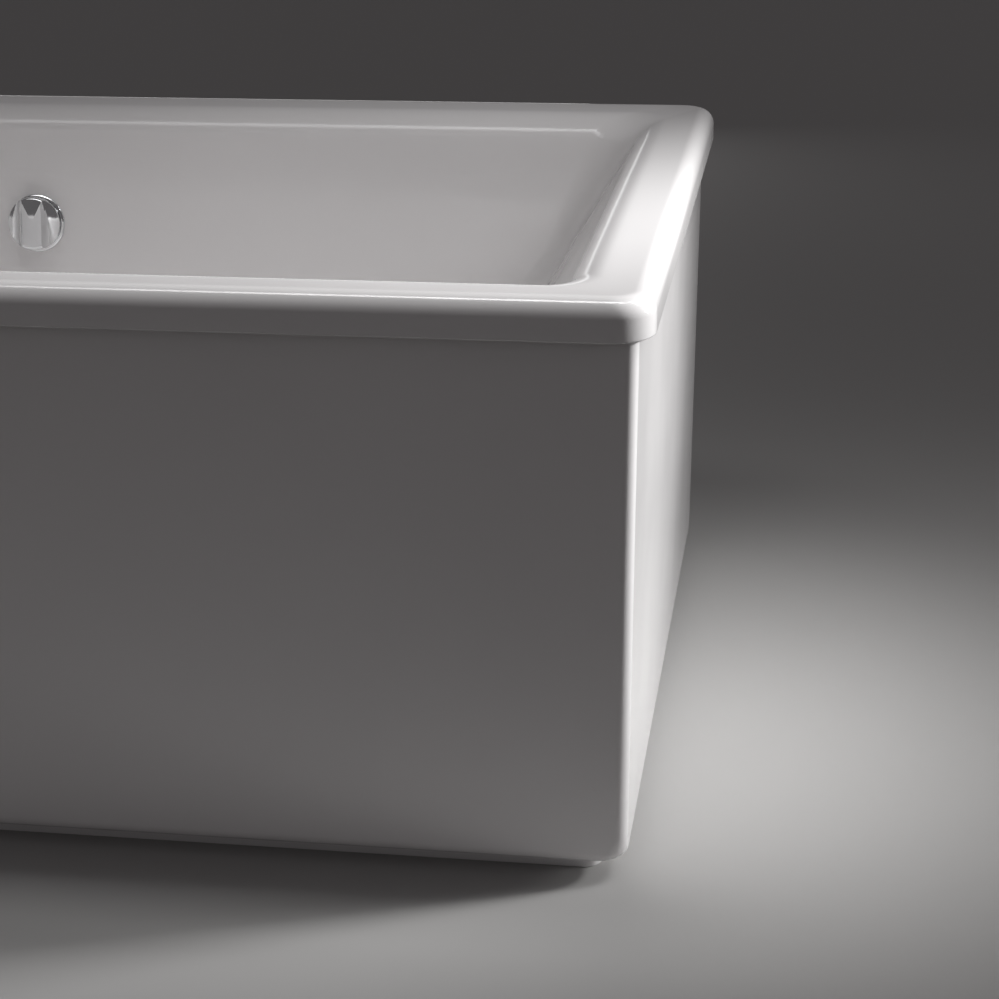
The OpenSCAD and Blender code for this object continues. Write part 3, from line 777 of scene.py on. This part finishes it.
def make_stud(node):
    """A threaded stud with plain chamfered ends."""
    low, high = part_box(node)
    radius, length = radius_of(low, high), high.z - low.z
    centre = Vector((*middle(low, high).xy, low.z))
    root = radius - STUD_THREAD_DEPTH
    core = [(radius - 1.2 * MM, 0), (radius - 0.2 * MM, 1 * MM), (radius - 0.2 * MM, 7 * MM),
            (root, 8 * MM), (root, length - 1.5 * MM), (root - 1.2 * MM, length)]
    winding = moved(thread(root, radius, STUD_PITCH, 7 * MM, length - 2 * MM), centre)
    return gather(node + "_thread", [turned(core, centre, steps=32), winding])


def make_pad(node):
    """A moulded rubber foot with a grooved sole and a collar round the stud, drawn for PAD_R in mm."""
    low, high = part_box(node)
    centre = Vector((*middle(low, high).xy, low.z))
    profile = [(2, 0), (9, 0), (9.6, 1), (11.4, 1), (12, 0), (17, 0), (17.6, 1), (19.4, 1), (20, 0)]
    profile += [(24.6, 0), (25.6, 0.5), (26, 1.4), (26, 3.8), (25.5, 4.7), (24.4, 5), (22.8, 5.3)]
    profile += [(13, 10.6), (11, 11.6), (10.2, 12), (6.8, 12), (6, 11.2), (6, 8)]
    scaled = [(r * radius_of(low, high) / PAD_R, h * MM) for r, h in profile]
    return finish_mesh(node + "_mould", turned(scaled, centre), sharp=50)


for foot in [name for name in frame["nodes"] if name.startswith("foot_stud_")]:
    place(make_stud(foot), foot)
    pad = foot.replace("stud", "pad")
    place(make_pad(pad), pad)


# ---- waste, plug and overflow ----


DRAIN_HOLES = 6
DRAIN_R = 5.5 * MM
WASTE_FLANGE_R = 36
PLUG_R = 29


def cut_drains(piece, centre, normal, ring_r, low, high):
    """Cuts a ring of holes through a piece, along a normal from one height on it to another."""
    up = normal.cross(ACROSS)
    for i in range(DRAIN_HOLES):
        turn = 2 * math.pi * i / DRAIN_HOLES
        hole = centre + ring_r * (math.cos(turn) * ACROSS + math.sin(turn) * up)
        cut(piece, rod("drain_cutter", DRAIN_R, hole + low * normal, hole + high * normal, sides=32))
    piece.data.set_sharp_from_angle(angle=math.radians(35))
    return piece


def make_waste_flange():
    """The chrome ring over the waste, with a web that guides the plug's stem, drawn in mm."""
    low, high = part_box("waste_flange")
    top = (high.z - low.z) / MM
    profile = [(4.1, 24), (22.5, 24), (22.5, 0), (24.5, 0), (24.5, top - 3), (36, top - 3), (35, top - 0.6),
               (33.6, top), (24.2, top), (22.5, top - 1.6), (22.5, 31), (4.1, 31)]
    scaled = [(r * radius_of(low, high) / WASTE_FLANGE_R, h * MM) for r, h in eased(profile, 0.5)]
    base = Vector((0, 0, low.z))
    flange = finish_mesh("waste_flange_ring", turned(scaled, base, looped=True))
    return cut_drains(flange, base, Vector((0, 0, 1)), 14 * MM, 20 * MM, 33 * MM)


def make_plug_cap():
    """A gently domed plug with a hub for its stem, drawn in mm."""
    low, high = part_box("plug_cap")
    top = (high.z - low.z) / MM
    dome = [(r, top - 2.2 * (r / PLUG_R) ** 2) for r in (27, 24, 20, 15, 10, 5, 1)]
    profile = [(4, 6), (4, 0.4), (4.4, 0), (8.5, 0), (9, 0.5), (9, 8), (28.4, 8), (29, 8.6),
               (29, top - 3), (28.6, top - 2.5)] + dome
    scaled = [(r * radius_of(low, high) / PLUG_R, h * MM) for r, h in profile]
    return finish_mesh("plug_cap_dome", turned(scaled, Vector((0, 0, low.z))), sharp=35)


def make_plug_stem():
    """A rod with a round tip that the lever lifts."""
    low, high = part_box("plug_stem")
    radius = radius_of(low, high)
    tip = [(radius * math.sin(a), radius * (1 - math.cos(a))) for a in spread(10, 0.08, math.pi / 2)]
    profile = tip + [(radius, high.z - low.z - 0.4 * MM), (radius - 0.4 * MM, high.z - low.z)]
    return finish_mesh("plug_stem_rod", turned(profile, Vector((0, 0, low.z)), steps=40))


def make_bezel():
    """The overflow's ring on the wall, with drain holes behind the knob, drawn in mm."""
    centre, normal = overflow_frame()
    profile = [(5.1, -16), (9, -16), (9, -3), (21, -3), (21, -16), (24.5, -16), (24.5, 0.3), (36, 0.3),
               (36, 1.6), (35.4, 3), (33.8, 4), (31.5, 4.3), (5.1, 4.3)]
    scaled = [(r * MM, h * MM) for r, h in eased(profile, 0.4)]
    bezel = finish_mesh("overflow_bezel_ring", turned(scaled, centre, normal, looped=True))
    return cut_drains(bezel, centre, normal, 15 * MM, -5 * MM, 6 * MM)


SCOOP_R = 22 * MM
SCOOP_OUT = 30 * MM
SCOOP_UP = 35 * MM
SCOOP_REACH = 40 * MM


def make_knob():
    """A round knob with a scoop on each side of its grip, drawn in mm."""
    centre, normal = overflow_frame()
    profile = [(4.4, -32), (5, -31.4), (5, 9), (32.2, 9), (33, 9.8), (33, 18.4), (32.6, 19.6),
               (31.4, 20.9), (29.8, 21.7), (28, 22), (1, 22)]
    scaled = [(r * MM, h * MM) for r, h in profile]
    knob = finish_mesh("overflow_knob_body", turned(scaled, centre, normal, steps=96))
    reach = SCOOP_REACH * normal.cross(ACROSS)
    for side in (-1, 1):
        over = centre + side * SCOOP_OUT * ACROSS + SCOOP_UP * normal
        cut(knob, rod("scoop_cutter", SCOOP_R, over - reach, over + reach, sides=96))
    return ease_edges(knob, 0.8 * MM, segments=3, angle=28)


NUT_RIBS = 16
NUT_BEVEL_R = 1.6 * MM
NUT_BEVEL_L = 1.4 * MM
GROOVE_DEPTH = 1 * MM
GROOVE = (0, 0, 0.5, 1, 1, 1, 0.5, 0)


def ribbed_nut(outer, inner, length, start, axis):
    """A bmesh of a round nut with grip ribs along it."""
    turn = axis.to_track_quat("Z", "Y").to_matrix()
    steps = NUT_RIBS * len(GROOVE)
    face_r = outer - NUT_BEVEL_R
    profile = [(inner, 0, 0), (face_r, 0, 0.4), (outer, NUT_BEVEL_L, 1), (outer, length - NUT_BEVEL_L, 1),
               (face_r, length, 0.4), (inner, length, 0)]
    rings = []
    for radius, along, depth in profile:
        points = []
        for k in range(steps):
            r = radius - GROOVE[k % len(GROOVE)] * depth * GROOVE_DEPTH
            angle = 2 * math.pi * k / steps
            points.append(start + turn @ Vector((r * math.cos(angle), r * math.sin(angle), along)))
        rings.append(points)
    return loft(rings, looped=True)


PIPE_BORE_R = 16.1 * MM
TAILPIECE_BORE_R = 19.55 * MM


def make_slip_nuts():
    """The nut under the waste body and the nut round the overflow pipe."""
    made = []
    for low, high in lumps("slip_nuts"):
        size = high - low
        if size.y < size.z:
            start = Vector((0, low.y, middle(low, high).z))
            made.append(ribbed_nut(size.z / 2, PIPE_BORE_R, size.y, start, Vector((0, 1, 0))))
        else:
            start = Vector((0, 0, low.z))
            made.append(ribbed_nut(size.x / 2, TAILPIECE_BORE_R, size.z, start, Vector((0, 0, 1))))
    return gather("slip_nuts_ribbed", made, sharp=32)


CABLE_R = 3 * MM
# From the overflow elbow down the pipe, then along under the tub to the waste body.
CABLE_ROUTE = [
    (0.024, 0.378, 0.400), (0.024, 0.380, 0.385), (0.024, 0.384, 0.355), (0.024, 0.384, 0.300),
    (0.024, 0.384, 0.240), (0.024, 0.384, 0.180), (0.024, 0.384, 0.140), (0.024, 0.378, 0.110),
    (0.024, 0.364, 0.086), (0.025, 0.342, 0.071), (0.027, 0.315, 0.066), (0.028, 0.260, 0.066),
    (0.028, 0.200, 0.066), (0.028, 0.140, 0.066), (0.028, 0.090, 0.066), (0.027, 0.060, 0.067),
    (0.025, 0.038, 0.070), (0.024, 0.020, 0.072),
]

place(make_waste_flange(), "waste_flange")
place(make_plug_cap(), "plug_cap")
place(make_plug_stem(), "plug_stem")
place(make_bezel(), "overflow_bezel")
place(make_knob(), "overflow_knob")
place(make_slip_nuts(), "slip_nuts")
place(finish_mesh("lift_cable_sleeve", swept([Vector(p) for p in CABLE_ROUTE], CABLE_R)), "lift_cable")
place(make_shell(), "bath_shell")
place(make_shroud(), "shroud")
place(make_plinth(), "plinth")


# ---- studio ----


FLOOR_HALF = 20


def make_floor():
    """A plain floor that reaches past the camera's view."""
    bm = bmesh.new()
    bmesh.ops.create_grid(bm, x_segments=1, y_segments=1, size=FLOOR_HALF)
    floor = finish_mesh("studio_floor", bm)
    material, nodes, links, principled = shader("studio_floor_paint", (0.42, 0.415, 0.41), 0.7)
    principled.inputs["Specular IOR Level"].default_value = 0.2
    dress(floor, material)


def softbox(name, location, target, size, power, spread_angle=180.0):
    """An area light that the camera doesn't see, aimed at a target, with its spread in degrees."""
    light = bpy.data.lights.new(name, "AREA")
    light.shape = "RECTANGLE"
    light.size, light.size_y = size
    light.energy = power
    light.spread = math.radians(spread_angle)
    thing = bpy.data.objects.new(name, light)
    bpy.context.scene.collection.objects.link(thing)
    thing.visible_camera = False
    thing.location = location
    thing.rotation_euler = (Vector(target) - thing.location).to_track_quat("-Z", "Y").to_euler()


make_floor()
softbox("front_rim_light", (0.1, -0.36, 1.35), (0.1, -0.30, 0.55), (2.2, 0.12), 1.1, 60)
softbox("basin_light", (0.1, -0.28, 2.0), (0.1, 0.0, 0.55), (2.2, 0.3), 1.3, 70)
softbox("end_light", (HALF_L + 2.3, 0.55, 1.35), (HALF_L + 0.05, -0.25, 0.5), (0.4, 0.3), 2.4, 26)
softbox("end_rim_light", (HALF_L + 0.8, -0.06, 1.6), (HALF_L - 0.02, -0.06, 0.54), (0.2, 0.8), 1.9, 46)
softbox("end_low_light", (HALF_L + 3.0, 0.6, 0.9), (HALF_L, -0.1, 0.45), (0.5, 0.5), 1.7, 44)
softbox("back_fill", (-0.8, 3.0, 0.45), (-0.4, 0.4, 0.3), (2.4, 0.6), 5)
softbox("left_fill", (-3.4, 0.3, 0.45), (-0.8, 0.1, 0.3), (0.6, 1.8), 4)

world = bpy.data.worlds.new("studio_air")
bpy.context.scene.world = world
world.use_nodes = True
background = world.node_tree.nodes["Background"]
background.inputs["Color"].default_value = (1.0, 0.95, 0.97, 1)
background.inputs["Strength"].default_value = 0.11
bpy.context.scene.view_settings.view_transform = "Standard"


# ---- camera ----

# The eye, in metres, and its turns, in radians, with the lens and sensor in mm.
CAMERA_PLACE = Vector((HALF_L + 0.1426, -2.2457, 1.0698))
PITCH = 0.3593
YAW = 0.1531
ROLL = -0.0141
LENS = 79.48
SENSOR_W = 36


def make_camera():
    """A camera beside the right-hand end that looks down along the front."""
    data = bpy.data.cameras.new("camera")
    data.sensor_width = SENSOR_W
    data.lens = LENS
    camera = bpy.data.objects.new("camera", data)
    bpy.context.scene.collection.objects.link(camera)
    bpy.context.scene.camera = camera
    forward = Vector((-math.sin(YAW) * math.cos(PITCH), math.cos(YAW) * math.cos(PITCH), -math.sin(PITCH)))
    level_right = Vector((math.cos(YAW), math.sin(YAW), 0))
    level_up = level_right.cross(forward)
    right = math.cos(ROLL) * level_right + math.sin(ROLL) * level_up
    up = right.cross(forward)
    turn = Matrix((right, up, -forward)).transposed().to_4x4()
    camera.matrix_world = Matrix.Translation(CAMERA_PLACE) @ turn


make_camera()
